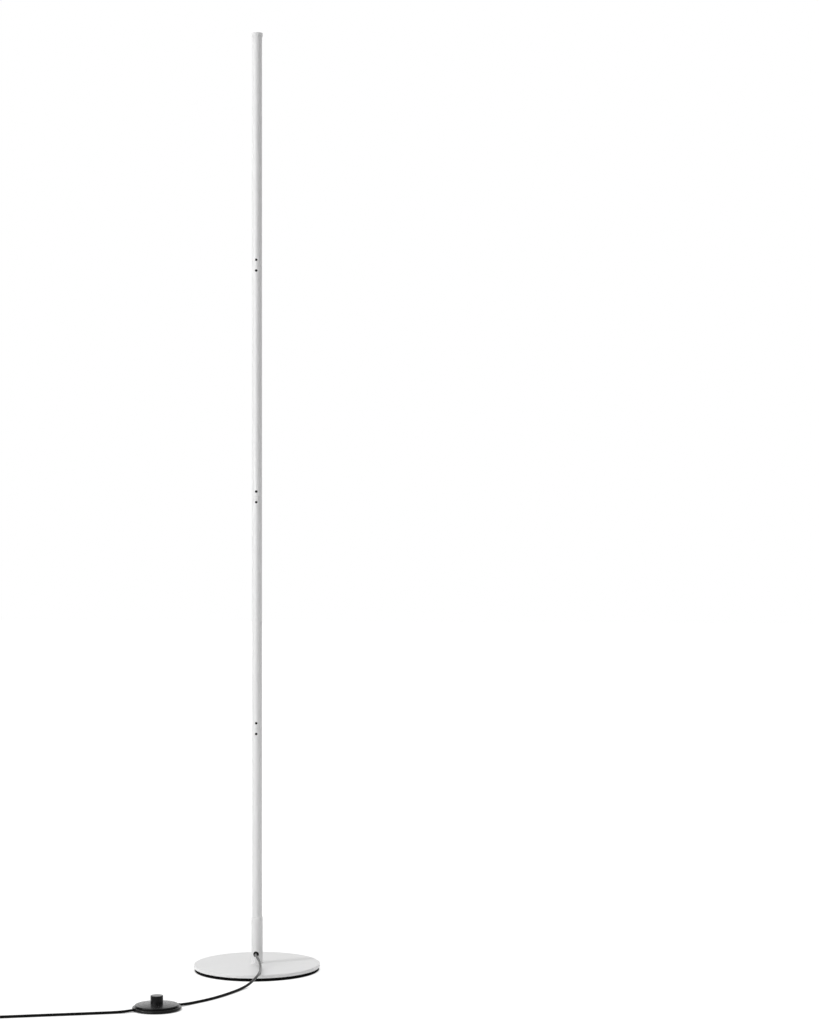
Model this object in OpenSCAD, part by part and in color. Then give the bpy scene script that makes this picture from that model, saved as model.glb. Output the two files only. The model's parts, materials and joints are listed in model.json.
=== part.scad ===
// Corner floor lamp. A slim round pole stands in a socket on a disc foot. The pole is an
// aluminium section in four lengths, screwed together over hidden joint bars, with a strip of
// lights behind an opal lens along the side that faces the corner. A cord leaves the socket
// just above the foot, runs to a foot switch on the floor, and ends in a plug-in power supply.
//
// Millimetres, +Z up. The origin is on the floor under the middle of the foot. The joint
// screws and the cord are on the -Y side, and the lights face +Y.

/* [Foot] */
// Diameter of the steel foot plate
plate_d = 200; // [180:1:240]
// Thickness of the foot plate
plate_t = 5.2; // [4:0.1:6]
// Thickness of the soft pad under the plate
pad_t = 5; // [5:0.5:7]
// How far the pad's edge lies inside the plate's edge
pad_inset = 1.5; // [0.5:0.5:8]

/* [Pole] */
// Diameter of the pole
pole_d = 16; // [16:0.1:17]
// Length of one pole section
section_l = 368; // [300:1:420]
// Height of the lowest joint above the floor
first_joint_z = 384; // [320:1:440]
// Distance between the two screws of a joint
joint_screw_gap = 17; // [14:0.5:24]
// Diameter of a joint screw
joint_screw_d = 3.9; // [3:0.1:4.4]
// Length of a joint bar
joint_bar_l = 60; // [50:1:90]
// Diameter of the socket that holds the pole
socket_d = 18.2; // [17.6:0.1:22]
// Height of the socket above the plate
socket_h = 73.8; // [60:0.1:100]
// Diameter of the top cap
cap_d = 18; // [17.4:0.1:20]
// Height of the top cap, from its lower rim to its top
cap_h = 7; // [6:0.5:12]

/* [Lights] */
// Width of the strip that carries the lights
strip_w = 8; // [7:0.1:8]
// Distance from one light to the next
led_pitch = 10.4; // [8:0.1:16]
// Number of lights on a full section
led_count = 35; // [10:1:35]
// Distance from a section's top to its first light
first_light = 8.6; // [4:0.1:14]

/* [Cord] */
// Diameter of the round cord
cord_d = 4; // [3.6:0.1:4]
// Height of the cord's hole above the floor
cord_exit_z = 26; // [25:0.5:28]
// Whole loops in the stored coil, besides the part that turns the cord to the supply
coil_loops = 8; // [4:1:8]
// Radius of the coil at the middle of its turns
coil_r = 22; // [21:0.5:26]

/* [Foot switch] */
// Diameter of the foot switch
switch_d = 72.5; // [70:0.5:80]
// Diameter of its button
button_d = 18.7; // [18:0.1:19]
// How far the button stands above the cover
button_rise = 11.3; // [11:0.1:14]
// How far the button travels
button_travel = 2.5; // [1:0.1:2.5]
// Direction of the cord through the switch, from +X
switch_turn = 38; // [0:1:90]

/* [Power supply] */
// Length of the supply along its cord
supply_l = 62; // [50:1:80]
// Width of the supply
supply_w = 42; // [36:1:60]

/* [Hidden] */
$fn = 96;

// Foot
plate_top = pad_t + plate_t;
pad_d = plate_d - 2 * pad_inset;
pad_hole_d = 24;
plate_edge_r = 1.2;
bolt_d = 5.9;
bolt_head_d = 10.4;
bolt_head_h = 3.2;
bolt_hex = 4;
washer_d = 18;
washer_t = 1.2;
socket_floor = 9;
socket_bore_d = pole_d + 0.1;
socket_top = plate_top + socket_h;
guide_z = plate_top + socket_floor;
guide_h = 18;
guide_r = socket_bore_d / 2 - 0.05;

// Pole section, seen from above: a rear chamber, a web, and a channel with a seat for the lens
pole_r = pole_d / 2;
tube_foot_z = guide_z + guide_h;
chamber_r = pole_r - 1.1;
web_back_y = 1;
web_front_y = 2;
channel_w = strip_w + 0.4;
seat_y = 5;
lens_w = 10.6;
lens_wall = 1.2;
snap_y = 3.6;
snap_h = 0.5;
snap_depth = 0.4;
lens_leg_t = 0.8;
lens_leg_h = 2.6;
lens_grooves_x = [-4.95, -4.5, 4.5, 4.95];
lens_groove = 0.3;
end_chamfer = 0.35;
fit = 0.05;
sections = 4;
pole_top = first_joint_z + (sections - 1) * section_l;
lamp_top = pole_top + 2;
bar_wall = 1.95;
bar_inside_y = -0.5;
cap_chamfer_h = 1.9;
cap_edge_r = 0.5;
cap_spigot_l = 9;
screw_hole_d = joint_screw_d + 0.2;
screw_hex = 2;

// Wires and connectors inside the pole
wire_d = 1.3;
wire_x = 1.2;
wire_y = -2.4;
wire_bend = 3;
tap_d = 1;
tap_gap = 4;
connector_l = 12;
connector_w = 5;
connector_t = 3.2;
pin_d = 0.8;
pin_l = 5;

// Lights
strip_t = 0.5;
strip_margin = 1;
strip_foot_z = socket_top + 2;
led_w = 3.5;
led_h = 2.8;
led_t = 0.8;

// Cord hole and grommet
grommet_d = 8.7;
grommet_neck_d = 6.3;
grommet_face = socket_d / 2 + 0.9;
cord_bore_d = cord_d + 0.1;
cord_end_y = -5.4;
cord_r = cord_d / 2;
on_plate = plate_top + cord_r + 0.05;

// Foot switch, in its own frame: the cord runs along X, with the lamp on the +X side
switch_pos = [-92.2, -319.9, 0];
switch_r = switch_d / 2;
mat_t = 0.5;
shell_floor = 1;
floor_top = mat_t + shell_floor;
rim_r = 2.2;
rim_mid_z = 2.6;
wall_r = switch_r - 5.6;
ledge_z = 3.9;
button_r = button_d / 2;
cover_neck_r = switch_r - 4.9;
cover_neck_t = 1.5;
cover_side_r = switch_r - 3.8;
cover_side_z = 6;
cover_edge_r = 1.4;
cover_shoulder_r = cover_side_r - cover_edge_r;
cover_edge_top = 7.6;
cover_hub_top = 9.5;
cover_t = 1.4;
cover_hub_r = 13;
cover_groove = 0.4;
cover_grooves_r = [cover_hub_r, 20, 27];
cover_dome_r = (pow(cover_shoulder_r, 2) - pow(button_r, 2)) / (2 * (cover_hub_top - cover_edge_top));
cover_dome_z = cover_hub_top + pow(button_r, 2) / (2 * cover_dome_r) - cover_dome_r;
boss_foot = mat_t + 2.1;
boss_h = 4.3;
button_top = cover_hub_top + button_rise;
button_wall = 1.4;
button_roof = 1.6;
flange_t = 0.8;
flange_r = button_r + 1.35;
flange_z = cover_hub_top - cover_t - flange_t;
post_r = 2.2;
post_h = 5;
board_t = 0.8;
board_r = 13;
board_top = floor_top + board_t;
latch_w = 8.5;
latch_h = 8;
plunger_r = 1.75;
plunger_l = 6.5;
spring_r = 6.95;
spring_wire = 0.8;
spring_curls = 6;
switch_screw_r = switch_r - 9;
switch_cord_z = 3.1;
collar_d = 5.1;
collar_out = 0.6;
switch_cord_out = switch_r + 1;
switch_cord_in = 22;
wire_end_x = 11.4;

// Cord from the lamp to the switch: over the plate, down off its rim and along the floor
lamp_route = [
  [0, -grommet_face, cord_exit_z],
  [0.6, -15, 25.8],
  [2.3, -19.9, 24.9],
  [5.2, -25.1, 22.9],
  [8.6, -31, 19.9],
  [11.4, -38.3, 16.7],
  [13.7, -47.2, 14],
  [15.4, -57.5, on_plate + 0.3],
  [17.6, -72, on_plate + 0.04],
  [19.3, -87, on_plate],
  [20.2, -101, on_plate],
  [19.4, -114, 10.8],
  [16, -130, 7.2],
  [10.9, -147, 4],
  [4.4, -166, 2.3],
  [-3, -189.4, cord_r],
  [-12, -213.6, cord_r],
  [-22, -235.6, cord_r],
  [-32.8, -254.8, cord_r],
  [-43.4, -270.4, cord_r],
  [-53.6, -285.2, 2.4],
  switch_end(1)
];
lamp_route_start = [0, -1, 0];
lamp_route_end = [-cos(switch_turn), -sin(switch_turn), 0];

// Coil: piled layers that spiral in and out again, climbing a layer where the spiral turns back
coil_layers = 4;
coil_pitch = cord_d + 0.5;
coil_lift = 1;
coil_centre = [-348, -390.4];
coil_heading = 196.4;
coil_start_turn = coil_heading + 90;
coil_end_turn = 180;
coil_turns = coil_loops + (coil_start_turn - coil_end_turn) / 360;
layer_turns = coil_turns / coil_layers;
coil_out_r = coil_r + coil_pitch * layer_turns / 2;
rings_per_loop = 24;
coil_rings = round(coil_turns * rings_per_loop);
coil_top_z = coil_lift + cord_r + coil_pitch * (coil_layers - 1);
tie_w = 8;
tie_t = 0.8;
tie_gap = 0.2;
tie_turn = 20;

// Cord from the switch along the floor to the coil
mains_route = [
  switch_end(-1),
  [-130, -348.6, 2.7],
  [-140, -353.2, 2.2],
  [-152.5, -357.5, cord_r],
  [-166, -361.9, cord_r],
  [-180, -366.4, cord_r],
  [-194, -370.8, cord_r],
  [-216, -377.6, cord_r],
  [-240, -384.9, cord_r],
  [-264, -392.5, cord_r],
  [-288, -400.2, cord_r],
  [-310, -407.3, 2.2],
  coil_mouth()
];
mains_route_start = [-cos(switch_turn), -sin(switch_turn), 0];

// Power supply, in its own frame: X runs from the cord's end, and it lies on its front face
supply_h = 2 * coil_top_z;
supply_wall = 2;
supply_corner_r = 6;
supply_edge_r = 3;
supply_split = supply_h - 7;
relief_l = 26;
relief_d = 9;
relief_tip_d = 5.4;
supply_pos = [coil_centre[0] - coil_out_r, coil_centre[1] + cord_d + relief_l, 0];
blade_l = 17.5;
blade_w = 6.3;
blade_t = 1.5;
blade_gap = 12.7;
blade_root = 6;
blade_hole_d = 3.2;
blade_x = 31;

// ---- Helpers ----

function unit(v) = v / norm(v);

function joint_z(i) = first_joint_z + (i - 1) * section_l;

function section_foot(i) = i == 1 ? tube_foot_z : joint_z(i - 1);

// Where the cord meets the switch: side 1 is the lamp's, side -1 is the supply's
function switch_end(side) = switch_pos
  + side * switch_cord_out * [cos(switch_turn), sin(switch_turn), 0]
  + [0, 0, switch_cord_z];

// One point of a curve that runs smoothly through b and c, between a and d
function between(a, b, c, d, t) = 0.5 * (2 * b + (c - a) * t
  + (2 * a - 5 * b + 4 * c - d) * t * t + (3 * b - a - 3 * c + d) * t * t * t);

// A route's points with one more point halfway along each step, never below the floor
function smooth_route(p, first, last) =
  let (n = len(p),
       ends = concat([p[1] - 2 * norm(p[1] - p[0]) * first], p,
                     [p[n - 2] + 2 * norm(p[n - 1] - p[n - 2]) * last]),
       dense = [for (i = [0 : 2 * n - 2])
         let (k = floor(i / 2))
         i % 2 == 0 ? p[k] : between(ends[k], ends[k + 1], ends[k + 2], ends[k + 3], 0.5)])
  [for (q = dense) [q[0], q[1], max(q[2], cord_r)]];

function route_length(p, i = 0) = i >= len(p) - 1 ? 0
  : norm(p[i + 1] - p[i]) + route_length(p, i + 1);

// Directions along a path, with the first and the last one given
function directions(p, first, last) = [for (i = [0 : len(p) - 1])
  i == 0 ? first : i == len(p) - 1 ? last : unit(p[i + 1] - p[i - 1])];

// A round tube of one skin, swept along a path that is never vertical
module swept_tube(path, d, sides, first, last) {
  dirs = directions(path, first, last);
  n = len(path);
  points = [for (i = [0 : n - 1])
    let (across = unit(cross(dirs[i], [0, 0, 1])), up = cross(across, dirs[i]))
    for (k = [0 : sides - 1])
      path[i] + d / 2 * (cos(360 * k / sides) * across + sin(360 * k / sides) * up)];
  skin = [for (i = [0 : n - 2], k = [0 : sides - 1], half = [0, 1])
    let (a = i * sides + k, b = i * sides + (k + 1) % sides)
    half == 0 ? [a, b, b + sides] : [a, b + sides, a + sides]];
  near_end = [for (k = [1 : sides - 2]) [0, k + 1, k]];
  far_end = [for (k = [1 : sides - 2])
    [(n - 1) * sides, (n - 1) * sides + k, (n - 1) * sides + k + 1]];
  polyhedron(points, concat(skin, near_end, far_end));
}

// A round bar along Y, from y = from to y = to
module bar_along_y(d, from, to, x = 0, z = 0) {
  translate([x, from, z])
    rotate([-90, 0, 0])
      cylinder(d = d, h = to - from);
}

// A round bar along X, from x = from to x = to
module bar_along_x(d, from, to, y = 0, z = 0) {
  translate([from, y, z])
    rotate([0, 90, 0])
      cylinder(d = d, h = to - from);
}

// A hexagonal recess, given across its flats
module hex_recess(across, h) {
  cylinder(d = across / cos(30), h = h, $fn = 6);
}

module rounded_box_2d(l, w, r) {
  square([l - 2 * r, w], center = true);
  square([l, w - 2 * r], center = true);
  for (sx = [-1, 1], sy = [-1, 1])
    translate([sx * (l / 2 - r), sy * (w / 2 - r)])
      circle(r = r);
}

// ---- Foot ----

module base_pad() {
  color("#141414")
    difference() {
      rotate_extrude()
        polygon([[0, 0], [pad_d / 2 - 0.6, 0], [pad_d / 2, 0.6], [pad_d / 2, pad_t], [0, pad_t]]);
      translate([0, 0, -1])
        cylinder(d = pad_hole_d, h = pad_t + 2);
    }
}

module base_plate() {
  edge_r = plate_d / 2 - plate_edge_r;
  color("#e6e6e6")
    difference() {
      rotate_extrude()
        union() {
          translate([0, pad_t])
            square([plate_d / 2 - 0.3, 0.3]);
          translate([0, pad_t + 0.3])
            square([plate_d / 2, plate_t - plate_edge_r - 0.3]);
          translate([0, plate_top - plate_edge_r])
            square([edge_r, plate_edge_r]);
          intersection() {
            translate([edge_r, plate_top - plate_edge_r])
              circle(r = plate_edge_r);
            translate([edge_r - 0.1, plate_top - plate_edge_r])
              square([plate_edge_r + 0.2, plate_edge_r + 0.1]);
          }
        }
      translate([0, 0, pad_t - 1])
        cylinder(d = bolt_d + 0.7, h = plate_t + 2);
    }
}

module base_washer() {
  color("silver")
    difference() {
      translate([0, 0, pad_t - washer_t])
        cylinder(d = washer_d, h = washer_t);
      translate([0, 0, pad_t - washer_t - 1])
        cylinder(d = bolt_d + 0.5, h = washer_t + 2);
    }
}

module base_bolt() {
  head_z = pad_t - washer_t - bolt_head_h;
  color("dimgray")
    difference() {
      union() {
        rotate_extrude()
          polygon([[0, head_z], [3.4, head_z], [4.7, head_z + 0.9], [bolt_head_d / 2, head_z + 2.2],
                   [bolt_head_d / 2, head_z + bolt_head_h], [0, head_z + bolt_head_h]]);
        translate([0, 0, head_z + bolt_head_h])
          cylinder(d = bolt_d, h = guide_z - 0.5 - head_z - bolt_head_h);
      }
      translate([0, 0, head_z - 1])
        hex_recess(bolt_hex, 3);
    }
}

module base_socket() {
  color("#e6e6e6")
    difference() {
      rotate_extrude()
        polygon([[0, plate_top], [socket_d / 2, plate_top], [socket_d / 2, socket_top - 0.4],
                 [socket_d / 2 - 0.4, socket_top], [0, socket_top]]);
      translate([0, 0, guide_z])
        cylinder(d = socket_bore_d, h = socket_h);
      translate([0, 0, plate_top - 1])
        cylinder(d = bolt_d + 0.1, h = socket_floor + 2);
      bar_along_y(grommet_neck_d + 0.1, -socket_d, 0, z = cord_exit_z);
    }
}

// Plug inside the socket: it clamps the cord, turns the wires upwards and carries the pole
module cord_guide() {
  color("#303030")
    difference() {
      translate([0, 0, guide_z])
        cylinder(r = guide_r, h = guide_h);
      bar_along_y(cord_bore_d, -socket_d, cord_end_y + 0.1, z = cord_exit_z);
      translate([-3.2, cord_end_y, cord_exit_z - 2.5])
        cube([6.4, web_back_y - 0.1 - cord_end_y, guide_h]);
    }
}

module cord_grommet() {
  color("#0c0c0c")
    difference() {
      union() {
        difference() {
          bar_along_y(grommet_d, -grommet_face, -socket_d / 2 + 3, z = cord_exit_z);
          translate([0, 0, cord_exit_z - grommet_d])
            cylinder(d = socket_d, h = 2 * grommet_d);
        }
        bar_along_y(grommet_neck_d, -grommet_face + 0.3, -guide_r - fit, z = cord_exit_z);
      }
      bar_along_y(cord_bore_d, -socket_d, 0, z = cord_exit_z);
    }
}

// The cord's sheathed end, held in the grommet and the guide
module cord_end() {
  color("#161616")
    bar_along_y(cord_d, -grommet_face, cord_end_y, z = cord_exit_z);
}

// ---- Pole ----

// The half of the pole behind the web, drawn to a given radius and up to a given y
module rear_half(r, to_y) {
  intersection() {
    circle(r = r);
    translate([-pole_r, -pole_d])
      square([pole_d, pole_d + to_y]);
  }
}

module tube_outline() {
  difference() {
    circle(r = pole_r);
    rear_half(chamber_r, web_back_y);
    translate([-channel_w / 2, web_front_y])
      square([channel_w, pole_d]);
    translate([-lens_w / 2 - fit, seat_y])
      square([lens_w + 2 * fit, pole_d]);
    translate([-channel_w / 2 - snap_depth, snap_y])
      square([channel_w + 2 * snap_depth, snap_h]);
  }
}

// Keeps what lies inside a round bar with chamfered ends
module chamfer_ends(z, h) {
  intersection() {
    children();
    translate([0, 0, z])
      rotate_extrude()
        polygon([[0, 0], [pole_r - end_chamfer, 0], [pole_r, end_chamfer],
                 [pole_r, h - end_chamfer], [pole_r - end_chamfer, h], [0, h]]);
  }
}

module tube(i) {
  z = section_foot(i);
  h = joint_z(i) - z;
  color("#e6e6e6")
    difference() {
      chamfer_ends(z, h)
        translate([0, 0, z])
          linear_extrude(h)
            tube_outline();
      if (i > 1)
        bar_along_y(screw_hole_d, -pole_d, wire_y, z = z + joint_screw_gap / 2);
      if (i < sections)
        bar_along_y(screw_hole_d, -pole_d, wire_y, z = z + h - joint_screw_gap / 2);
      for (x = [-wire_x, wire_x])
        bar_along_y(tap_d + 0.4, 0, web_front_y + 0.5, x = x, z = tap_z(i));
    }
}

module lens_outline() {
  leg_x = channel_w / 2 - fit;
  difference() {
    union() {
      intersection() {
        difference() {
          circle(r = pole_r);
          circle(r = pole_r - lens_wall);
        }
        translate([-lens_w / 2, seat_y])
          square([lens_w, pole_d]);
      }
      for (side = [-1, 1]) {
        translate([side > 0 ? leg_x - lens_leg_t : -leg_x, snap_y - 0.2])
          square([lens_leg_t, lens_leg_h]);
        translate([side > 0 ? leg_x - lens_leg_t : -leg_x - snap_depth, snap_y + fit])
          square([lens_leg_t + snap_depth, snap_h - 2 * fit]);
      }
    }
    for (x = lens_grooves_x)
      translate([x, sqrt(pole_r * pole_r - x * x)])
        rotate(45)
          square(lens_groove, center = true);
  }
}

module lens(i) {
  z = section_foot(i);
  h = joint_z(i) - z;
  color("#fbf3e0")
    chamfer_ends(z, h)
      translate([0, 0, z])
        linear_extrude(h)
          lens_outline();
}

function strip_foot(i) = max(section_foot(i) + strip_margin, strip_foot_z);

function tap_z(i) = max(section_foot(i) + joint_bar_l / 2, strip_foot_z) + tap_gap;

module light_strip(i) {
  z = strip_foot(i);
  color("#f4f4f0")
    translate([-strip_w / 2, web_front_y, z])
      cube([strip_w, strip_t, joint_z(i) - strip_margin - z]);
}

module lights(i) {
  color("#f2d66b")
    for (k = [0 : led_count - 1])
      let (z = joint_z(i) - first_light - k * led_pitch)
        if (z - led_h > strip_foot(i))
          translate([-led_w / 2, web_front_y + strip_t, z - led_h / 2])
            cube([led_w, led_t, led_h]);
}

module wires(i) {
  from = i == 1 ? cord_exit_z + wire_bend : joint_z(i - 1) + connector_l;
  to = i == sections ? tap_z(i) + wire_d / 2 : joint_z(i) - connector_l;
  color("#b02a20")
    for (x = [-wire_x, wire_x]) {
      translate([x, wire_y, from])
        cylinder(d = wire_d, h = to - from);
      bar_along_y(tap_d, wire_y, web_front_y, x = x, z = tap_z(i));
      if (i == 1)
        translate([x, wire_y - wire_bend, from])
          rotate([0, 90, 0])
            rotate_extrude(angle = 90)
              translate([wire_bend, 0])
                circle(d = wire_d);
    }
}

module joint_bar_outline() {
  difference() {
    rear_half(chamber_r - fit, web_back_y - fit);
    rear_half(chamber_r - bar_wall, bar_inside_y);
  }
}

module joint_bar(i) {
  color("silver")
    difference() {
      translate([0, 0, joint_z(i) - joint_bar_l / 2])
        linear_extrude(joint_bar_l)
          joint_bar_outline();
      for (side = [-1, 1])
        bar_along_y(joint_screw_d + 0.1, -pole_d, wire_y, z = joint_z(i) + side * joint_screw_gap / 2);
    }
}

module joint_screws() {
  color("#101010")
    for (i = [1 : sections - 1], side = [-1, 1])
      translate([0, -pole_r + fit, joint_z(i) + side * joint_screw_gap / 2])
        rotate([-90, 0, 0])
          difference() {
            cylinder(d = joint_screw_d, h = pole_r - fit - chamber_r + bar_wall);
            translate([0, 0, -1])
              hex_recess(screw_hex, 2.6);
          }
}

module connector_body() {
  translate([-connector_w / 2, wire_y - connector_t / 2, 0])
    cube([connector_w, connector_t, connector_l]);
}

module joint_plugs() {
  color("#efefe8")
    for (i = [1 : sections - 1])
      translate([0, 0, joint_z(i) - connector_l]) {
        connector_body();
        for (x = [-wire_x, wire_x])
          translate([x, wire_y, connector_l])
            cylinder(d = pin_d, h = pin_l);
      }
}

module joint_sockets() {
  color("#efefe8")
    for (i = [1 : sections - 1])
      translate([0, 0, joint_z(i)])
        difference() {
          connector_body();
          for (x = [-wire_x, wire_x])
            translate([x, wire_y, -1])
              cylinder(d = pin_d + 0.1, h = pin_l + 2);
        }
}

module top_cap() {
  cap_z = lamp_top - cap_h;
  side_z = cap_z + cap_chamfer_h;
  color("#e6e6e6") {
    difference() {
      rotate_extrude()
        union() {
          polygon([[0, cap_z], [pole_r + 0.35, cap_z], [cap_d / 2, side_z],
                   [cap_d / 2, lamp_top - cap_edge_r], [cap_d / 2 - cap_edge_r, lamp_top - cap_edge_r],
                   [cap_d / 2 - cap_edge_r, lamp_top], [0, lamp_top]]);
          intersection() {
            translate([cap_d / 2 - cap_edge_r, lamp_top - cap_edge_r])
              circle(r = cap_edge_r);
            translate([cap_d / 2 - cap_edge_r - 0.1, lamp_top - cap_edge_r])
              square(cap_edge_r + 0.2);
          }
        }
      translate([0, 0, cap_z - 1])
        cylinder(d = socket_bore_d, h = pole_top - cap_z + 1);
    }
    translate([0, 0, pole_top - cap_spigot_l])
      linear_extrude(cap_spigot_l + 0.5)
        difference() {
          rear_half(chamber_r - fit, web_back_y - fit);
          translate([-2.5, -4.5])
            square([5, 4]);
        }
  }
}

// ---- Foot switch ----

module at_switch() {
  translate(switch_pos)
    rotate([0, 0, switch_turn])
      children();
}

// The places of the three screws, clear of the cord
module at_switch_screws() {
  for (turn = [90, 210, 330])
    rotate([0, 0, turn])
      translate([switch_screw_r, 0, 0])
        children();
}

module switch_cord_holes() {
  for (side = [-1, 1])
    rotate([0, 0, side > 0 ? 0 : 180])
      bar_along_x(cord_bore_d, switch_cord_in - 0.5, switch_r + 3, z = switch_cord_z);
}

module switch_mat() {
  color("#1c1c1c")
    at_switch()
      difference() {
        cylinder(r = wall_r, h = mat_t);
        at_switch_screws()
          translate([0, 0, -1])
            cylinder(r = 2.4, h = mat_t + 2);
      }
}

// The base's section: a flat shell whose edge is a round bead, higher than the ledge inside it
module switch_base_outline() {
  bead_x = switch_r - rim_r;
  difference() {
    union() {
      translate([0, mat_t])
        square([bead_x, ledge_z - mat_t]);
      intersection() {
        translate([bead_x, rim_mid_z])
          circle(r = rim_r);
        translate([wall_r, mat_t])
          square(2 * switch_r);
      }
    }
    translate([0, floor_top])
      square([wall_r, switch_r]);
  }
}

module switch_base() {
  color("#181818")
    at_switch()
      difference() {
        union() {
          rotate_extrude()
            switch_base_outline();
          at_switch_screws()
            translate([0, 0, mat_t])
              cylinder(r = 3.2, h = boss_foot - mat_t);
          for (side = [-1, 1], end = [-1, 1])
            translate([end * 28 - 1, side > 0 ? cord_bore_d / 2 : -cord_bore_d / 2 - 1.6, floor_top - 0.5])
              cube([2, 1.6, 3.2]);
          for (turn = [0, 180])
            rotate([0, 0, turn])
              bar_along_x(collar_d, cover_neck_r + 0.2, switch_r + collar_out, z = switch_cord_z);
        }
        at_switch_screws() {
          translate([0, 0, mat_t - 1])
            cylinder(r = 2.1, h = 2.1);
          translate([0, 0, mat_t])
            cylinder(r = 1.2, h = 3);
        }
        switch_cord_holes();
      }
}

function cover_top(r) = cover_dome_z + sqrt(pow(cover_dome_r, 2) - r * r);

// The cover's section: a shallow dome with a rounded shoulder, on a neck that leaves a groove
module cover_outline() {
  side_top = cover_edge_top - cover_edge_r;
  intersection() {
    translate([0, cover_dome_z])
      circle(r = cover_dome_r, $fn = 720);
    union() {
      polygon([[button_r + 0.1, cover_hub_top - cover_t], [cover_hub_r, cover_hub_top - cover_t],
               [cover_neck_r - cover_neck_t, cover_edge_top - 1.5],
               [cover_neck_r - cover_neck_t, ledge_z], [cover_neck_r, ledge_z],
               [cover_neck_r, cover_side_z], [cover_side_r, cover_side_z], [cover_side_r, side_top],
               [cover_shoulder_r, side_top], [cover_shoulder_r, cover_hub_top + 1],
               [button_r + 0.1, cover_hub_top + 1]]);
      intersection() {
        translate([cover_shoulder_r, side_top])
          circle(r = cover_edge_r);
        translate([cover_shoulder_r - 0.1, side_top])
          square(cover_edge_r + 0.2);
      }
    }
  }
}

module switch_cover() {
  color("#2a2a2a")
    at_switch()
      difference() {
        union() {
          rotate_extrude()
            difference() {
              cover_outline();
              for (r = cover_grooves_r)
                translate([r, cover_top(r)])
                  rotate(45)
                    square(cover_groove, center = true);
            }
          at_switch_screws()
            translate([0, 0, boss_foot])
              cylinder(r = 2.4, h = boss_h);
        }
        at_switch_screws()
          translate([0, 0, boss_foot - 0.1])
            cylinder(r = 1.1, h = 2.8);
        switch_cord_holes();
      }
}

module switch_screws() {
  color("silver")
    at_switch()
      at_switch_screws()
        difference() {
          union() {
            translate([0, 0, mat_t + 0.1])
              cylinder(r = 2, h = 1);
            translate([0, 0, mat_t + 1])
              cylinder(r = 1.05, h = 3.6);
          }
          for (turn = [0, 90])
            rotate([0, 0, turn])
              translate([-1.2, -0.25, mat_t])
                cube([2.4, 0.5, 0.7]);
        }
}

module switch_board() {
  color("#2f6b3c")
    at_switch()
      translate([0, 0, floor_top])
        cylinder(r = board_r, h = board_t);
}

module switch_latch() {
  color("#202020")
    at_switch()
      difference() {
        translate([-latch_w / 2, -latch_w / 2, board_top])
          cube([latch_w, latch_w, latch_h]);
        translate([0, 0, plunger_foot() - button_travel - 0.3])
          cylinder(r = plunger_r + 0.07, h = latch_h);
      }
}

function plunger_foot() = button_top - button_roof - post_h - plunger_l;

module latch_plunger() {
  color("#e8e8e8")
    at_switch()
      translate([0, 0, plunger_foot()])
        cylinder(r = plunger_r, h = plunger_l);
}

module button_spring() {
  foot = board_top + spring_wire / 2;
  rise = button_top - button_roof - spring_wire / 2 - foot;
  rings = 8 * spring_curls;
  path = [for (k = [0 : rings])
    [spring_r * cos(360 * k / 8), spring_r * sin(360 * k / 8), foot + rise * k / rings]];
  color("silver")
    at_switch()
      swept_tube(path, spring_wire, 6, unit(path[1] - path[0]), unit(path[rings] - path[rings - 1]));
}

module foot_button() {
  edge = 0.6;
  color("#3c3c3c")
    at_switch()
      rotate_extrude()
        union() {
          difference() {
            union() {
              translate([0, flange_z])
                square([flange_r, flange_t]);
              translate([0, flange_z])
                square([button_r, button_top - edge - flange_z]);
              translate([0, button_top - edge])
                square([button_r - edge, edge]);
              intersection() {
                translate([button_r - edge, button_top - edge])
                  circle(r = edge);
                translate([button_r - edge - 0.1, button_top - edge])
                  square(edge + 0.2);
              }
            }
            translate([0, flange_z - 1])
              square([button_r - button_wall, button_top - button_roof - flange_z + 1]);
          }
          translate([0, button_top - button_roof - post_h])
            square([post_r, post_h + 0.5]);
        }
}

module switch_cord_ends() {
  color("#161616")
    at_switch()
      for (turn = [0, 180])
        rotate([0, 0, turn])
          bar_along_x(cord_d, switch_cord_in, switch_cord_out, z = switch_cord_z);
}

module switch_wires() {
  color("#b02a20")
    at_switch()
      for (turn = [0, 180], y = [-1.1, 1.1])
        rotate([0, 0, turn])
          bar_along_x(wire_d, wire_end_x, switch_cord_in, y = y, z = board_top + wire_d / 2 + fit);
}

// ---- Cord ----

function coil_radius(turn) =
  let (t = turn - 2 * layer_turns * floor(turn / (2 * layer_turns)))
  coil_out_r - coil_pitch * (layer_turns - abs(t - layer_turns));

function coil_climb(turn) =
  let (t = min(1, max(0, turn * 2 + 0.5)))
  coil_pitch * t * t * (3 - 2 * t);

function coil_point(turn) =
  let (a = coil_start_turn - 360 * turn, r = coil_radius(turn))
  [coil_centre[0] + r * cos(a), coil_centre[1] + r * sin(a),
   coil_lift + cord_r + coil_climb(turn - layer_turns) + coil_climb(turn - 2 * layer_turns)
     + coil_climb(turn - 3 * layer_turns)];

function coil_in_dir() = [cos(coil_heading), sin(coil_heading), 0];

function coil_mouth() = coil_point(0) - cord_d * coil_in_dir();

coil_path = concat([coil_mouth()],
  [for (k = [0 : coil_rings]) coil_point(coil_turns * k / coil_rings)],
  [coil_point(coil_turns) + [0, cord_d, 0]]);

// The least gap between two stretches of the coil that lie over half a turn apart
function coil_least_gap() = min([for (i = [0 : len(coil_path) - 1])
  for (j = [i + rings_per_loop / 2 : 1 : len(coil_path) - 1])
    norm(coil_path[i] - coil_path[j])]) - cord_d;

module cord_to_switch() {
  path = smooth_route(lamp_route, lamp_route_start, lamp_route_end);
  color("#161616")
    swept_tube(path, cord_d, 8, lamp_route_start, lamp_route_end);
}

module cord_to_coil() {
  path = smooth_route(mains_route, mains_route_start, coil_in_dir());
  color("#161616")
    swept_tube(path, cord_d, 8, mains_route_start, coil_in_dir());
}

module cord_coil() {
  color("#161616")
    swept_tube(coil_path, cord_d, 6, coil_in_dir(), [0, 1, 0]);
}

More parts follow.
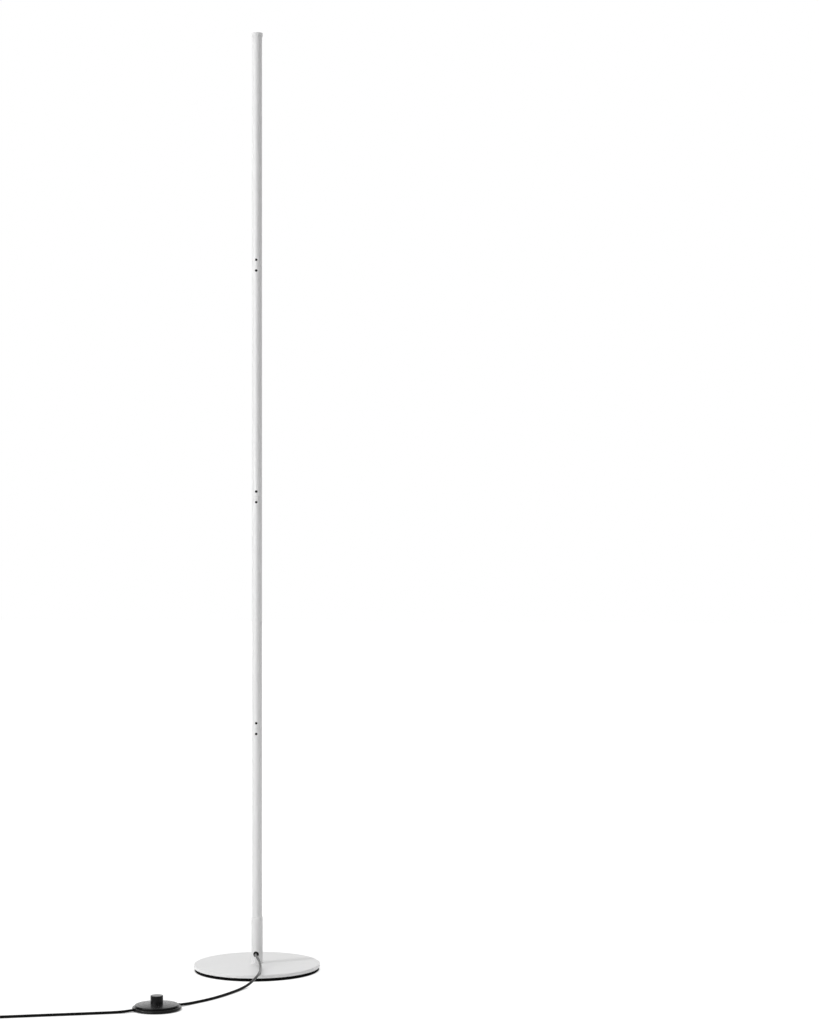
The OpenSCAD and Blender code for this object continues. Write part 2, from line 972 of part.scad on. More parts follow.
// Strap around the whole bundle of turns
module coil_tie() {
  inner_r = coil_r - coil_pitch * layer_turns / 2 - cord_r - tie_gap;
  outer_r = coil_out_r + cord_r + tie_gap;
  low = coil_lift - tie_gap;
  high = coil_top_z + cord_r + tie_gap;
  color("#101010")
    translate([coil_centre[0], coil_centre[1], 0])
      rotate([0, 0, tie_turn])
        translate([(inner_r + outer_r) / 2, tie_w / 2, (low + high) / 2])
          rotate([90, 0, 0])
            linear_extrude(tie_w)
              difference() {
                rounded_box_2d(outer_r - inner_r + 2 * tie_t, high - low + 2 * tie_t, 1.5);
                rounded_box_2d(outer_r - inner_r, high - low, 0.7);
              }
}

echo(str("cord from the lamp to the switch: ",
  round(route_length(smooth_route(lamp_route, lamp_route_start, lamp_route_end))), " mm"));
echo(str("cord from the switch to the coil: ",
  round(route_length(smooth_route(mains_route, mains_route_start, coil_in_dir()))), " mm"));
echo(str("cord in the coil: ", round(route_length(coil_path)), " mm"));
echo(str("least gap between the coil's turns: ", coil_least_gap(), " mm"));

// ---- Power supply ----

module at_supply() {
  translate(supply_pos)
    rotate([0, 0, 90])
      children();
}

// The whole case as one solid, with every edge rounded, drawn in by a margin
module supply_block(inset) {
  l = supply_l - 2 * inset;
  w = supply_w - 2 * inset;
  h = supply_h - 2 * inset;
  translate([supply_l / 2, 0, supply_h / 2])
    intersection() {
      translate([0, 0, -h / 2])
        linear_extrude(h)
          rounded_box_2d(l, w, supply_corner_r - inset);
      translate([0, w / 2, 0])
        rotate([90, 0, 0])
          linear_extrude(w)
            rounded_box_2d(l, h, supply_edge_r - inset / 2);
      translate([-l / 2, 0, 0])
        rotate([90, 0, 90])
          linear_extrude(l)
            rounded_box_2d(w, h, supply_edge_r - inset / 2);
    }
}

module supply_shell() {
  difference() {
    supply_block(0);
    supply_block(supply_wall);
    bar_along_x(relief_tip_d, -1, supply_wall + 1, z = coil_top_z);
  }
}

module supply_front() {
  color("#181818")
    at_supply()
      intersection() {
        supply_shell();
        translate([-1, -supply_w, 0])
          cube([supply_l + 2, 2 * supply_w, supply_split]);
      }
}

module supply_back() {
  color("#181818")
    at_supply()
      difference() {
        intersection() {
          supply_shell();
          translate([-1, -supply_w, supply_split])
            cube([supply_l + 2, 2 * supply_w, supply_h]);
        }
        for (side = [-1, 1])
          translate([blade_x - blade_w / 2 - fit, side * blade_gap / 2 - blade_t / 2 - fit, supply_split])
            cube([blade_w + 2 * fit, blade_t + 2 * fit, supply_h]);
      }
}

module plug_blades() {
  color("silver")
    at_supply()
      for (side = [-1, 1])
        translate([blade_x - blade_w / 2, side * blade_gap / 2 - blade_t / 2, supply_h - blade_root])
          difference() {
            union() {
              cube([blade_w, blade_t, blade_root + blade_l - 1]);
              translate([0.8, 0.2, 0])
                cube([blade_w - 1.6, blade_t - 0.4, blade_root + blade_l]);
            }
            bar_along_y(blade_hole_d, -1, blade_t + 1, x = blade_w / 2, z = blade_root + blade_l - 4.5);
          }
}

module supply_board() {
  color("#2f6b3c")
    at_supply()
      translate([5, -supply_w / 2 + 4, 7])
        cube([supply_l - 10, supply_w - 8, 1.6]);
}

module supply_transformer() {
  color("#c8a040")
    at_supply()
      translate([22, -9, 8.6])
        cube([18, 18, 15]);
}

module supply_capacitors() {
  color("#303060")
    at_supply()
      for (place = [[13, -9], [13, 9], [50, 8]])
        translate([place[0], place[1], 8.6])
          cylinder(d = 8, h = 13);
}

// Tapered sleeve with rings, where the cord leaves the case
module supply_relief() {
  color("#181818")
    at_supply()
      translate([-relief_l, 0, coil_top_z])
        rotate([0, 90, 0])
          difference() {
            rotate_extrude()
              union() {
                polygon([[0, 0], [relief_tip_d / 2, 0], [relief_d / 2, relief_l - 4],
                         [relief_d / 2, relief_l], [0, relief_l]]);
                translate([0, relief_l])
                  square([relief_tip_d / 2 - fit, supply_wall + 2]);
              }
            for (k = [0 : 4])
              translate([0, 0, 3 + 3.6 * k])
                difference() {
                  cylinder(d = relief_d + 2, h = 1.4);
                  translate([0, 0, -1])
                    cylinder(d = relief_tip_d - 0.6 + 0.55 * k, h = 4);
                }
          }
}

base_pad();
base_plate();
base_washer();
base_bolt();
base_socket();
cord_guide();
cord_grommet();
cord_end();
tube(1);  // tube_1
tube(2);  // tube_2
tube(3);  // tube_3
tube(4);  // tube_4
lens(1);  // lens_1
lens(2);  // lens_2
lens(3);  // lens_3
lens(4);  // lens_4
light_strip(1);  // light_strip_1
light_strip(2);  // light_strip_2
light_strip(3);  // light_strip_3
light_strip(4);  // light_strip_4
lights(1);  // lights_1
lights(2);  // lights_2
lights(3);  // lights_3
lights(4);  // lights_4
wires(1);  // wires_1
wires(2);  // wires_2
wires(3);  // wires_3
wires(4);  // wires_4
joint_bar(1);  // joint_bar_1
joint_bar(2);  // joint_bar_2
joint_bar(3);  // joint_bar_3
joint_plugs();
joint_sockets();
joint_screws();
top_cap();
switch_mat();
switch_base();
switch_cover();
switch_screws();
switch_board();
switch_latch();
latch_plunger();
button_spring();
foot_button();
switch_cord_ends();
switch_wires();
cord_to_switch();
cord_to_coil();
cord_coil();
coil_tie();
supply_front();
supply_back();
supply_board();
supply_transformer();
supply_capacitors();
supply_relief();
plug_blades();
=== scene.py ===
"""Looks of the corner floor lamp: finishes of its pieces, its cords, a studio and a camera.

Lengths are in metres. The frame is the lamp's own: the origin is on the floor under the middle of
the foot, +Z is up, the lights face +Y, and the joint screws and the cord are on the -Y side.
"""

import json
import math

import bmesh
import bpy
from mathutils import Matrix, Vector


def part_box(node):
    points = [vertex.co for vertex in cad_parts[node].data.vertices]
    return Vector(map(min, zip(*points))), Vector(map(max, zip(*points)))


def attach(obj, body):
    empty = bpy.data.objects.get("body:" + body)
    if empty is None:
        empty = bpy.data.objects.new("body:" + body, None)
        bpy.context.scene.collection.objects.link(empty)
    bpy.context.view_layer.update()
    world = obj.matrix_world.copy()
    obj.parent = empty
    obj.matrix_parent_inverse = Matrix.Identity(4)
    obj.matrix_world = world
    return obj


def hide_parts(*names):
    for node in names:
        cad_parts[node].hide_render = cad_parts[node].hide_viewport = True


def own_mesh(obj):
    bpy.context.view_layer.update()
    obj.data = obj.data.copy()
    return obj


MM = 0.001

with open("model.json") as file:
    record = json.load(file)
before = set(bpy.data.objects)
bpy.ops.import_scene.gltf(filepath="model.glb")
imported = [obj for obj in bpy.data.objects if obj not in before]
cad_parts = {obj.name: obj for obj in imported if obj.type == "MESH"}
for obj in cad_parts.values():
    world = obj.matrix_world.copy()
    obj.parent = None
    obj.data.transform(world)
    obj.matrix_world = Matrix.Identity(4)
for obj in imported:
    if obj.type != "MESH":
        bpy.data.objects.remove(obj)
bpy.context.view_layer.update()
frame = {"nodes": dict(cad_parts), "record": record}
nodes = frame["nodes"]
scene = bpy.context.scene
scene.view_settings.view_transform = "Standard"

# ---- Sizes taken from the frame ----

pole_low, pole_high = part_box("tube_4")
pole_top = pole_high.z
section_length = pole_high.z - pole_low.z
switch_low, switch_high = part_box("switch_base")
switch_centre = (switch_low + switch_high) / 2

# ---- Camera, at the photograph's viewing angle ----

CAMERA_LENS = 84.65
CAMERA_PLACE = (0.6666, -3.7803, 0.728)
CAMERA_TURN = 6.377  # degrees to the left of +Y


def make_camera():
    data = bpy.data.cameras.new("camera")
    data.lens = CAMERA_LENS
    data.sensor_width = 36
    data.clip_start = 0.05
    data.clip_end = 60
    camera = bpy.data.objects.new("camera", data)
    camera.location = CAMERA_PLACE
    camera.rotation_euler = (math.radians(90), 0, math.radians(CAMERA_TURN))
    scene.collection.objects.link(camera)
    scene.camera = camera


make_camera()

# ---- Cords ----

CORD_DIAMETER = 4 * MM
CORD_RADIUS = CORD_DIAMETER / 2

# The routes are in millimetres, as the CAD is, until their paths are scaled to metres.
PLATE_GAP = 0.05
ON_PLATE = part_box("base_plate")[1].z / MM + CORD_RADIUS / MM + PLATE_GAP
SWITCH_TURN = math.radians(38)
SWITCH_CENTRE = (-92.2, -319.9)
SWITCH_OUT = 37.25  # from the middle of the switch to where the free cord begins
SWITCH_CORD_Z = 3.1

COIL_CENTRE = (-348, -390.4)
COIL_HEADING = math.radians(196.4)
COIL_START = COIL_HEADING + math.pi / 2
COIL_END = math.pi
COIL_LOOPS = 8
COIL_LAYERS = 4
COIL_PITCH = 4.5
COIL_LIFT = 1  # from the floor to the lowest turns, which lie on the tie
COIL_MIDDLE_R = 22
COIL_TURNS = COIL_LOOPS + (COIL_START - COIL_END) / math.tau
LAYER_TURNS = COIL_TURNS / COIL_LAYERS
COIL_OUT_R = COIL_MIDDLE_R + COIL_PITCH * LAYER_TURNS / 2
COIL_STEPS_PER_TURN = 48
LAYER_CLIMB_TURNS = 0.5  # the share of a turn in which the cord rises to the next layer


def switch_end(side):
    """Where the cord meets the switch: side 1 is the lamp's, and -1 is the supply's."""
    return (
        SWITCH_CENTRE[0] + side * SWITCH_OUT * math.cos(SWITCH_TURN),
        SWITCH_CENTRE[1] + side * SWITCH_OUT * math.sin(SWITCH_TURN),
        SWITCH_CORD_Z,
    )


def coil_point(turn):
    """A point of the coil, so many turns from where the cord enters it."""
    place = turn % (2 * LAYER_TURNS)
    radius = COIL_OUT_R - COIL_PITCH * (LAYER_TURNS - abs(place - LAYER_TURNS))
    angle = COIL_START - math.tau * turn
    height = COIL_LIFT + CORD_RADIUS / MM
    for layer in range(1, COIL_LAYERS):
        climb = min(1, max(0, (turn - layer * LAYER_TURNS) / LAYER_CLIMB_TURNS + 0.5))
        height += COIL_PITCH * climb * climb * (3 - 2 * climb)
    return (
        COIL_CENTRE[0] + radius * math.cos(angle),
        COIL_CENTRE[1] + radius * math.sin(angle),
        height,
    )


def coil_mouth():
    """The point one cord diameter before the coil's first turn."""
    x, y, z = coil_point(0)
    step = CORD_DIAMETER / MM
    return (x - step * math.cos(COIL_HEADING), y - step * math.sin(COIL_HEADING), z)


LAMP_ROUTE = [
    (0, -10, 26),
    (0.6, -15, 25.8),
    (2.3, -19.9, 24.9),
    (5.2, -25.1, 22.9),
    (8.6, -31, 19.9),
    (11.4, -38.3, 16.7),
    (13.7, -47.2, 14),
    (15.4, -57.5, ON_PLATE + 0.3),
    (17.6, -72, ON_PLATE + 0.04),
    (19.3, -87, ON_PLATE),
    (20.2, -101, ON_PLATE),
    (19.4, -114, 10.8),
    (16, -130, 7.2),
    (10.9, -147, 4),
    (4.4, -166, 2.3),
    (-3, -189.4, 2),
    (-12, -213.6, 2),
    (-22, -235.6, 2),
    (-32.8, -254.8, 2),
    (-43.4, -270.4, 2),
    (-53.6, -285.2, 2.4),
    switch_end(1),
]

SUPPLY_ROUTE = [
    switch_end(-1),
    (-130, -348.6, 2.7),
    (-140, -353.2, 2.2),
    (-152.5, -357.5, 2),
    (-166, -361.9, 2),
    (-180, -366.4, 2),
    (-194, -370.8, 2),
    (-216, -377.6, 2),
    (-240, -384.9, 2),
    (-264, -392.5, 2),
    (-288, -400.2, 2),
    (-310, -407.3, 2.2),
    coil_mouth(),
]

INTO_SWITCH = (-math.cos(SWITCH_TURN), -math.sin(SWITCH_TURN), 0)
INTO_COIL = (math.cos(COIL_HEADING), math.sin(COIL_HEADING), 0)


def smooth_route(points, first, last, steps=12):
    """The route's points with more of them in between, on one smooth curve above the floor."""
    points = [Vector(p) for p in points]
    before = points[1] - 2 * (points[1] - points[0]).length * Vector(first)
    after = points[-2] + 2 * (points[-1] - points[-2]).length * Vector(last)
    ends = [before, *points, after]
    smooth = []
    for k in range(len(points) - 1):
        a, b, c, d = ends[k : k + 4]
        for step in range(steps):
            t = step / steps
            smooth.append(
                (2 * b + (c - a) * t + (2 * a - 5 * b + 4 * c - d) * t * t
                 + (3 * b - a - 3 * c + d) * t ** 3) / 2
            )
    smooth.append(points[-1])
    return [Vector((p.x, p.y, max(p.z, CORD_RADIUS / MM))) for p in smooth]


def make_cord(name, path):
    """A round cord as a curve along path, in metres."""
    data = bpy.data.curves.new(name, "CURVE")
    data.dimensions = "3D"
    data.bevel_depth = CORD_RADIUS
    data.bevel_resolution = 6
    data.use_fill_caps = True
    spline = data.splines.new("POLY")
    spline.points.add(len(path) - 1)
    for point, place in zip(spline.points, path):
        point.co = (*place, 1)
    spline.use_smooth = True
    cord = bpy.data.objects.new(name, data)
    scene.collection.objects.link(cord)
    return cord


lamp_path = [p * MM for p in smooth_route(LAMP_ROUTE, (0, -1, 0), INTO_SWITCH)]
lamp_cord = make_cord("lamp_cord", lamp_path)

floor_path = smooth_route(SUPPLY_ROUTE, INTO_SWITCH, INTO_COIL)
coil_steps = round(COIL_TURNS * COIL_STEPS_PER_TURN)
coil_path = [Vector(coil_point(COIL_TURNS * k / coil_steps)) for k in range(coil_steps + 1)]
coil_exit = coil_path[-1] + Vector((0, CORD_DIAMETER / MM, 0))
supply_path = [p * MM for p in [*floor_path, *coil_path, coil_exit]]
supply_cord = make_cord("supply_cord", supply_path)

# ---- The button's spring ----

SPRING_RADIUS = 6.95 * MM
SPRING_WIRE_RADIUS = 0.4 * MM
SPRING_TURNS = 7
SPRING_STEPS_PER_TURN = 32
SPRING_SIDES = 10
SPRING_GAP = 0.05 * MM  # at its foot and its head
FLAT_PITCH = 2.05 * SPRING_WIRE_RADIUS  # of the first and the last turn


def make_spring(name, centre, low, high):
    """A compression spring of round wire, with a flat turn at each end, as one closed mesh."""
    rise = high - low - 2 * SPRING_WIRE_RADIUS - 2 * FLAT_PITCH
    bm = bmesh.new()
    rings = []
    for k in range(SPRING_TURNS * SPRING_STEPS_PER_TURN + 1):
        turn = k / SPRING_STEPS_PER_TURN
        open_share = min(1, max(0, (turn - 1) / (SPRING_TURNS - 2)))
        flat_turns = min(turn, 1) + max(0, turn - SPRING_TURNS + 1)
        height = low + SPRING_WIRE_RADIUS + rise * open_share + FLAT_PITCH * flat_turns
        out = Vector((math.cos(math.tau * turn), math.sin(math.tau * turn), 0))
        middle = Vector((centre.x, centre.y, height)) + SPRING_RADIUS * out
        ring = []
        for side in range(SPRING_SIDES):
            angle = math.tau * side / SPRING_SIDES
            offset = math.cos(angle) * out + Vector((0, 0, math.sin(angle)))
            ring.append(bm.verts.new(middle + SPRING_WIRE_RADIUS * offset))
        rings.append(ring)
    for ring, after in zip(rings, rings[1:]):
        for side in range(SPRING_SIDES):
            beside = (side + 1) % SPRING_SIDES
            bm.faces.new((ring[side], ring[beside], after[beside], after[side])).smooth = True
    bm.faces.new(rings[0])
    bm.faces.new(rings[-1])
    bmesh.ops.recalc_face_normals(bm, faces=bm.faces)
    mesh = bpy.data.meshes.new(name)
    bm.to_mesh(mesh)
    bm.free()
    spring = bpy.data.objects.new(name, mesh)
    scene.collection.objects.link(spring)
    return spring


spring_low, spring_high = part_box("button_spring")
spring_foot = spring_low.z + SPRING_GAP
spring_head = spring_high.z - SPRING_GAP
press_spring = make_spring("press_spring", switch_centre, spring_foot, spring_head)
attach(press_spring, "lamp")
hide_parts("button_spring")
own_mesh(press_spring)

# ---- Materials ----


def grey(value):
    return (value, value, value, 1)


class Tree:
    """A node tree, with short calls for the nodes that it is made of."""

    def __init__(self, owner):
        owner.use_nodes = True
        self.nodes = owner.node_tree.nodes
        self.links = owner.node_tree.links

    def feed(self, socket, value):
        """Links the socket to value, or sets it where value isn't a socket."""
        if isinstance(value, bpy.types.NodeSocket):
            self.links.new(value, socket)
        else:
            socket.default_value = value

    def node(self, kind, **inputs):
        """A new node whose named inputs take these values."""
        made = self.nodes.new("ShaderNode" + kind)
        for key, value in inputs.items():
            self.feed(made.inputs[key.replace("_", " ")], value)
        return made

    def join(self, kind, *values, operation=None):
        """A new node whose inputs take these values in order."""
        made = self.nodes.new("ShaderNode" + kind)
        if operation:
            made.operation = operation
        for socket, value in zip(made.inputs, values):
            self.feed(socket, value)
        return made

    def math(self, operation, *values):
        return self.join("Math", *values, operation=operation).outputs[0]

    def measure(self, operation, *vectors):
        """The number that an operation on vectors gives."""
        return self.join("VectorMath", *vectors, operation=operation).outputs["Value"]

    def place(self):
        return self.node("TexCoord").outputs["Object"]

    def between(self, value, low, high, from_low=0.3, from_high=0.7):
        """A number that runs from low to high as value runs from from_low to from_high."""
        made = self.join("MapRange", value, from_low, from_high, low, high)
        return made.outputs[0]

    def fall(self, value, start, end):
        """A smooth fall from 1 to 0 as value runs from start to end."""
        made = self.join("MapRange", value, end, start)
        made.interpolation_type = "SMOOTHSTEP"
        return made.outputs[0]

    def finish(self, kind, surface):
        """Puts surface on a new output node of this kind."""
        self.node("Output" + kind, Surface=surface)


class Shader(Tree):
    """A material with one Principled shader."""

    def __init__(self, name):
        self.material = bpy.data.materials.new(name)
        super().__init__(self.material)
        self.bsdf = self.nodes["Principled BSDF"]
        self.at = self.place()

    def set(self, **values):
        """Sets or links inputs of the Principled shader."""
        for key, value in values.items():
            self.feed(self.bsdf.inputs[key.replace("_", " ")], value)

    def noise(self, scale, detail=3.0, stretch=(1, 1, 1)):
        mapping = self.node("Mapping", Vector=self.at, Scale=stretch)
        made = self.node("TexNoise", Vector=mapping.outputs[0], Scale=scale, Detail=detail)
        return made.outputs["Fac"]

    def mix(self, factor, first, second):
        """A colour that runs from first to second as factor runs from 0 to 1."""
        made = self.node("Mix", Factor=factor)
        made.data_type = "RGBA"
        self.feed(made.inputs[6], first)
        self.feed(made.inputs[7], second)
        return made.outputs[2]

    def bump(self, height, depth, strength=1.0):
        made = self.node("Bump", Height=height, Distance=depth, Strength=strength)
        self.set(Normal=made.outputs[0])


def coated(name, level=0.8):
    """Satin white powder coat: a fine orange peel, and a faint unevenness of tone and gloss."""
    shader = Shader(name)
    shader.set(
        Base_Color=shader.mix(shader.noise(14, 4), grey(level * 0.985), grey(level)),
        Roughness=shader.between(shader.noise(60, 3), 0.34, 0.4),
        Specular_IOR_Level=0.28,
    )
    shader.bump(shader.noise(900, 2), 0.02 * MM, 0.35)
    return shader.material


def moulded(name, level, rough, grain=1400, depth=0.03, specular=0.5):
    """Black plastic, rubber or coated steel with a fine grain, so many millimetres deep."""
    shader = Shader(name)
    shader.set(
        Base_Color=shader.mix(shader.noise(90, 4), grey(level * 0.8), grey(level * 1.2)),
        Roughness=shader.between(shader.noise(240, 3), rough - 0.05, rough + 0.05),
        Specular_IOR_Level=specular,
    )
    shader.bump(shader.noise(grain, 3), depth * MM, 0.5)
    return shader.material


def cord_sheath():
    """Black round sheath, glossy over the plate and dull on the floor, with a painted highlight
    in its base colour: lighter grey where it leaves the pole, darker grey over the plate, black
    beyond.
    """
    shader = Shader("cord_sheath")
    away = shader.measure("LENGTH", shader.at)  # metres from the foot's middle
    black = shader.mix(shader.noise(90, 4), grey(0.004), grey(0.007))
    # painted highlight: a lighter grey base colour near the pole and over the plate stands in for
    # light caught on the glossy sheath
    painted_sheen_grey = shader.mix(shader.between(away, 0.0, 1.0, 0.03, 0.065), grey(0.12), grey(0.045))
    shader.set(
        Base_Color=shader.mix(shader.between(away, 0.0, 1.0, 0.09, 0.14), painted_sheen_grey, black),
        Roughness=shader.between(away, 0.26, 0.45, 0.03, 0.2),
        Specular_IOR_Level=shader.between(away, 1.0, 0.04, 0.09, 0.15),
    )
    shader.bump(shader.noise(900, 3), 0.01 * MM, 0.4)
    return shader.material


def switch_shell():
    """Black moulded plastic, smoother on its upper faces and glossier at a grazing angle."""
    shader = Shader("switch_shell")
    normal = shader.node("NewGeometry").outputs["Normal"]
    up = shader.node("SeparateXYZ", Vector=normal).outputs["Z"]
    grazing = shader.node("LayerWeight", Blend=0.5).outputs["Facing"]
    shader.set(
        Base_Color=shader.mix(shader.noise(90, 4), grey(0.005), grey(0.008)),
        Roughness=shader.between(up, 0.2, 0.25, 0.5, 0.95),
        Specular_IOR_Level=shader.between(grazing, 0.12, 1.0, 0.66, 0.84),
    )
    shader.bump(shader.noise(1600, 3), 0.003 * MM, 0.3)
    return shader.material


def darkened(colour, share):
    return tuple(share * c for c in colour[:3]) + (1,)


def metal(name, colour, rough, stretch=(1, 1, 1)):
    """Bare metal with lines from drawing or brushing along the axis where stretch is small."""
    shader = Shader(name)
    lines = shader.noise(1600, 3, stretch)
    shader.set(
        Base_Color=shader.mix(lines, darkened(colour, 0.88), colour),
        Roughness=shader.between(lines, rough - 0.06, rough + 0.08),
        Metallic=1.0,
    )
    shader.bump(lines, 0.01 * MM, 0.4)
    return shader.material


def plain(name, colour, rough=0.5):
    """A hidden piece's plastic or board, with a slight mottle."""
    shader = Shader(name)
    shader.set(
        Base_Color=shader.mix(shader.noise(200, 3), darkened(colour, 0.85), colour),
        Roughness=shader.between(shader.noise(500, 2), rough - 0.05, rough + 0.05),
    )
    shader.bump(shader.noise(1500, 2), 0.01 * MM, 0.3)
    return shader.material


LED_PITCH = 10.4 * MM
FIRST_LED = 8.6 * MM  # below the top of its section
LAST_LED_Z = 94.6 * MM
LIT_HALF_WIDTH = 4.16 * MM


def opal_lens():
    """Opal lens: a lit band with a soft bright spot over each light, between two unlit edges."""
    shader = Shader("opal_lens")
    split = shader.node("SeparateXYZ", Vector=shader.at)
    x = shader.math("ABSOLUTE", split.outputs["X"])
    z = split.outputs["Z"]
    # the nearest light: down from the top of the section that holds this point
    kept = shader.math("MAXIMUM", z, LAST_LED_Z - LED_PITCH / 2)
    below_top = shader.math("SUBTRACT", pole_top, kept)
    in_section = shader.math("MODULO", below_top, section_length)
    section_top = shader.math("ADD", kept, in_section)
    count = shader.math("DIVIDE", shader.math("SUBTRACT", in_section, FIRST_LED), LED_PITCH)
    last = math.floor((section_length - FIRST_LED) / LED_PITCH)
    index = shader.math("MINIMUM", shader.math("MAXIMUM", shader.math("ROUND", count), 0.0), last)
    led_z = shader.math(
        "SUBTRACT", section_top, shader.math("MULTIPLY_ADD", index, LED_PITCH, FIRST_LED)
    )
    dz = shader.math("ABSOLUTE", shader.math("SUBTRACT", z, led_z))
    # a spot falls off both ways, and the amber is deepest at the edges between two spots
    across = shader.math("DIVIDE", x, LIT_HALF_WIDTH)
    along = shader.math("DIVIDE", dz, LED_PITCH / 2)
    spot = shader.math("MULTIPLY", shader.fall(across, 0.0, 1.1), shader.fall(along, 0.14, 0.92))
    cream = (1.0, 0.92, 0.61, 1)
    amber = (0.98, 0.59, 0.12, 1)
    white = (1.0, 1.0, 0.95, 1)
    warm = shader.mix(shader.between(across, 0.0, 1.0, 0.25, 1.0), cream, amber)
    glow = shader.mix(spot, warm, white)
    lit = shader.math("LESS_THAN", x, LIT_HALF_WIDTH)
    unlit = (0.38, 0.355, 0.32, 1)
    shader.set(
        Base_Color=shader.mix(lit, (0.78, 0.76, 0.71, 1), (0.02, 0.018, 0.015, 1)),
        Roughness=shader.between(shader.noise(300, 2), 0.36, 0.44),
        Specular_IOR_Level=0.4,
        Emission_Color=shader.mix(lit, unlit, glow),
        Emission_Strength=1.0,
    )
    shader.bump(shader.noise(700, 2), 0.01 * MM, 0.3)
    return shader.material


def wire_pair(name, across, between_wires):
    """Two insulated wires, black and red, on the two sides of the point between_wires."""
    shader = Shader(name)
    middle = Vector(across).dot(Vector(between_wires))
    side = shader.math("GREATER_THAN", shader.measure("DOT_PRODUCT", shader.at, across), middle)
    shader.set(
        Base_Color=shader.mix(side, (0.5, 0.02, 0.015, 1), grey(0.02)),
        Roughness=shader.between(shader.noise(400, 2), 0.38, 0.46),
    )
    shader.bump(shader.noise(1200, 2), 0.01 * MM, 0.3)
    return shader.material


def led_package():
    """Yellow phosphor in the middle of each light's pale case, lit."""
    shader = Shader("led")
    shader.set(
        Base_Color=shader.mix(shader.noise(800, 2), (0.9, 0.66, 0.2, 1), (0.98, 0.8, 0.35, 1)),
        Roughness=0.3,
        Emission_Color=(1, 0.86, 0.55, 1),
        Emission_Strength=1.0,
    )
    return shader.material


MATERIALS = {
    "pad_rubber": moulded("pad_rubber", 0.004, 0.9, grain=2200, depth=0.05, specular=0.03),
    "coated_steel": coated("coated_steel"),
    "coated_aluminium": coated("coated_aluminium"),
    "opal_lens": opal_lens(),
    "light_strip": plain("light_strip", (0.82, 0.82, 0.78, 1)),
    "led": led_package(),
    "wire": wire_pair("wire", (1, 0, 0), (0, 0, 0)),
    "bar_aluminium": metal("bar_aluminium", (0.8, 0.8, 0.81, 1), 0.35, stretch=(1, 1, 0.03)),
    "connector": plain("connector", (0.85, 0.84, 0.78, 1)),
    "black_screw": moulded("black_screw", 0.004, 0.45, grain=1800, depth=0.01, specular=0.15),
    "steel": metal("steel", (0.6, 0.61, 0.62, 1), 0.32),
    "guide_plastic": moulded("guide_plastic", 0.04, 0.5),
    "grommet_rubber": moulded(
        "grommet_rubber", 0.004, 0.55, grain=1500, depth=0.02, specular=0.08
    ),
    "cord_sheath": cord_sheath(),
    "tie": moulded("tie", 0.012, 0.8, grain=1800, depth=0.08, specular=0.2),
    "switch_shell": switch_shell(),
    "circuit_board": plain("circuit_board", (0.02, 0.16, 0.05, 1)),
    "latch_plastic": moulded("latch_plastic", 0.02, 0.5),
    "plunger_plastic": plain("plunger_plastic", (0.82, 0.82, 0.8, 1)),
    "supply_shell": moulded(
        "supply_shell", 0.012, 0.5, grain=1300, depth=0.05, specular=0.4
    ),
    "transformer": plain("transformer", (0.75, 0.5, 0.08, 1)),
    "capacitor": metal("capacitor", (0.1, 0.1, 0.28, 1), 0.35),
    "blade": metal("blade", (0.7, 0.68, 0.62, 1), 0.28, stretch=(1, 1, 0.05)),
}

ACROSS_SWITCH = (-math.sin(SWITCH_TURN), math.cos(SWITCH_TURN), 0)


def dress_nodes():
    """Gives every CAD node its slot's material, and the switch's wires their own sides."""
    switch_wire = wire_pair("switch_wire", ACROSS_SWITCH, switch_centre)
    for row in frame["record"]["subparts"]:
        finish = MATERIALS[row["material_slot"]]
        if row["node"] == "switch_wires":
            finish = switch_wire
        for slot in nodes[row["node"]].material_slots:
            slot.material = finish


dress_nodes()
press_spring.data.materials.append(MATERIALS["steel"])

for cord in (lamp_cord, supply_cord):
    cord.data.materials.append(MATERIALS["cord_sheath"])
    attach(cord, "lamp")

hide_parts("cord_to_switch")
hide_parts("cord_to_coil", "cord_coil")

# ---- Studio ----

WHITE = grey(1)
FLOOR_SIZE = 24
FLOOR_BOUNCE = 0.95  # the colour that lights the object from below
FLOOR_SHADE = 0.3  # the part of the seen floor that takes shadows
FLOOR_GLOW = (0.84, 1.0)  # the rest of it, near the lamp and far away
GLOW_REACH = (0.5, 2.0)
CONTACT_SHADOW = 3 * MM


def seen_or_lit(tree, lit, seen):
    """One surface for camera, glossy and transmission rays, and another for the rest."""
    rays = tree.node("LightPath").outputs
    share = rays["Is Camera Ray"]
    for kind in ("Is Glossy Ray", "Is Transmission Ray"):
        share = tree.math("MAXIMUM", share, rays[kind])
    return tree.join("MixShader", share, lit, seen).outputs[0]


def make_world(ambient):
    """A white backdrop that lights the object only as much as ambient says."""
    scene.world = bpy.data.worlds.new("studio")
    tree = Tree(scene.world)
    tree.nodes.clear()
    seen = tree.node("Background", Color=WHITE)
    lit = tree.node("Background", Color=WHITE, Strength=ambient)
    tree.finish("World", seen_or_lit(tree, lit.outputs[0], seen.outputs[0]))


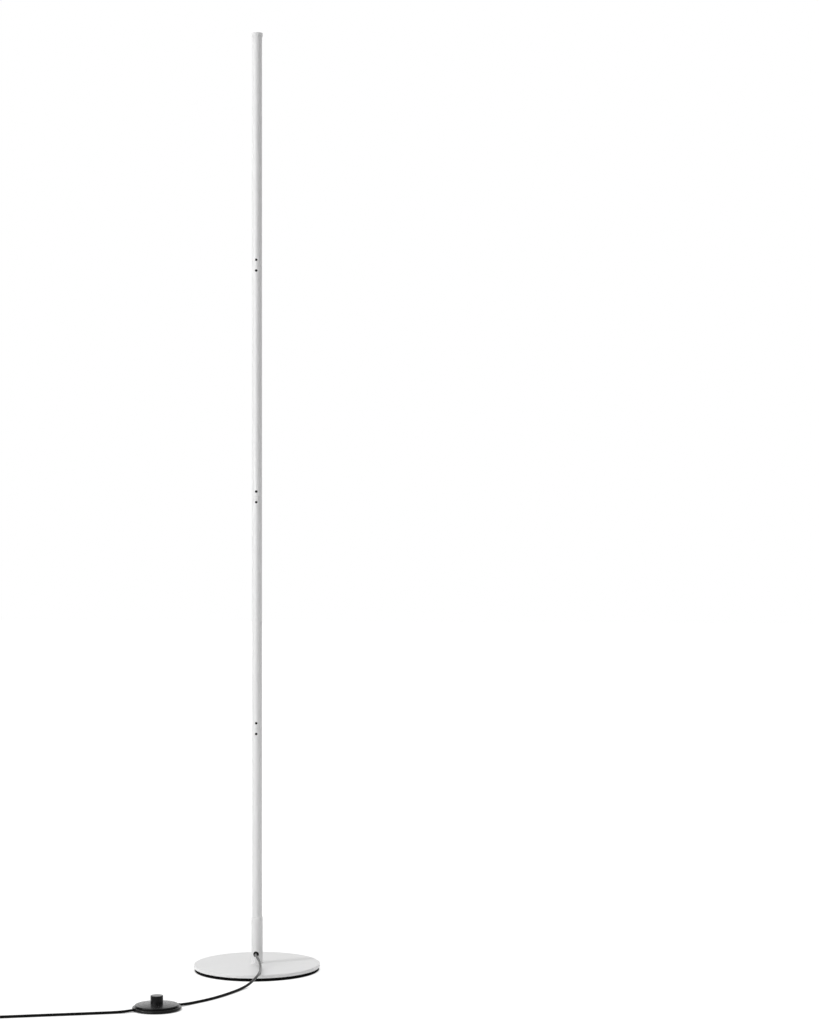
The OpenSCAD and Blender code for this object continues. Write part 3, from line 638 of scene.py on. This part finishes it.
def make_floor():
    """A pale floor that shows white to the camera, less a soft shadow near the lamp."""
    half = FLOOR_SIZE / 2
    mesh = bpy.data.meshes.new("floor")
    corners = [(-half, -half, 0), (half, -half, 0), (half, half, 0), (-half, half, 0)]
    mesh.from_pydata(corners, [], [(0, 1, 2, 3)])
    floor = bpy.data.objects.new("floor", mesh)
    scene.collection.objects.link(floor)
    material = bpy.data.materials.new("floor")
    tree = Tree(material)
    tree.nodes.clear()
    lit = tree.node("BsdfDiffuse", Color=grey(FLOOR_BOUNCE))
    shade = tree.node("BsdfDiffuse", Color=grey(FLOOR_SHADE))
    away = tree.measure("LENGTH", tree.place())
    contact = tree.node("AmbientOcclusion", Distance=CONTACT_SHADOW)
    glow = tree.node(
        "Emission",
        Color=contact.outputs["Color"],
        Strength=tree.between(away, *FLOOR_GLOW, *GLOW_REACH),
    )
    seen = tree.join("AddShader", shade.outputs[0], glow.outputs[0])
    tree.finish("Material", seen_or_lit(tree, lit.outputs[0], seen.outputs[0]))
    mesh.materials.append(material)


def make_light(name, place, target, size, watts, lights=True, reflects=True):
    """An area light, which may be there only to light, or only to be reflected."""
    data = bpy.data.lights.new(name, "AREA")
    data.shape = "RECTANGLE"
    data.size, data.size_y = size
    data.energy = watts
    lamp = bpy.data.objects.new(name, data)
    lamp.location = place
    lamp.rotation_euler = (Vector(target) - Vector(place)).to_track_quat("-Z", "Y").to_euler()
    lamp.visible_diffuse = lights
    lamp.visible_glossy = reflects
    scene.collection.objects.link(lamp)


POLE_MIDDLE = (0, 0, 0.75)

make_world(ambient=0.27)
make_floor()
make_light("key", (-2.28, -1.53, 1.3), POLE_MIDDLE, size=(0.45, 1.9), watts=44)
make_light("panel", (-1.32, -2.29, 0.9), POLE_MIDDLE, size=(1.8, 1.9), watts=52, lights=False)
make_light("top", (0, 0, 3.4), (0, 0, 0), size=(2.6, 2.6), watts=54, reflects=False)
make_light("low", (1.15, -0.7, 0.16), (0, 0, 0.16), size=(0.4, 0.4), watts=1.5, reflects=False)
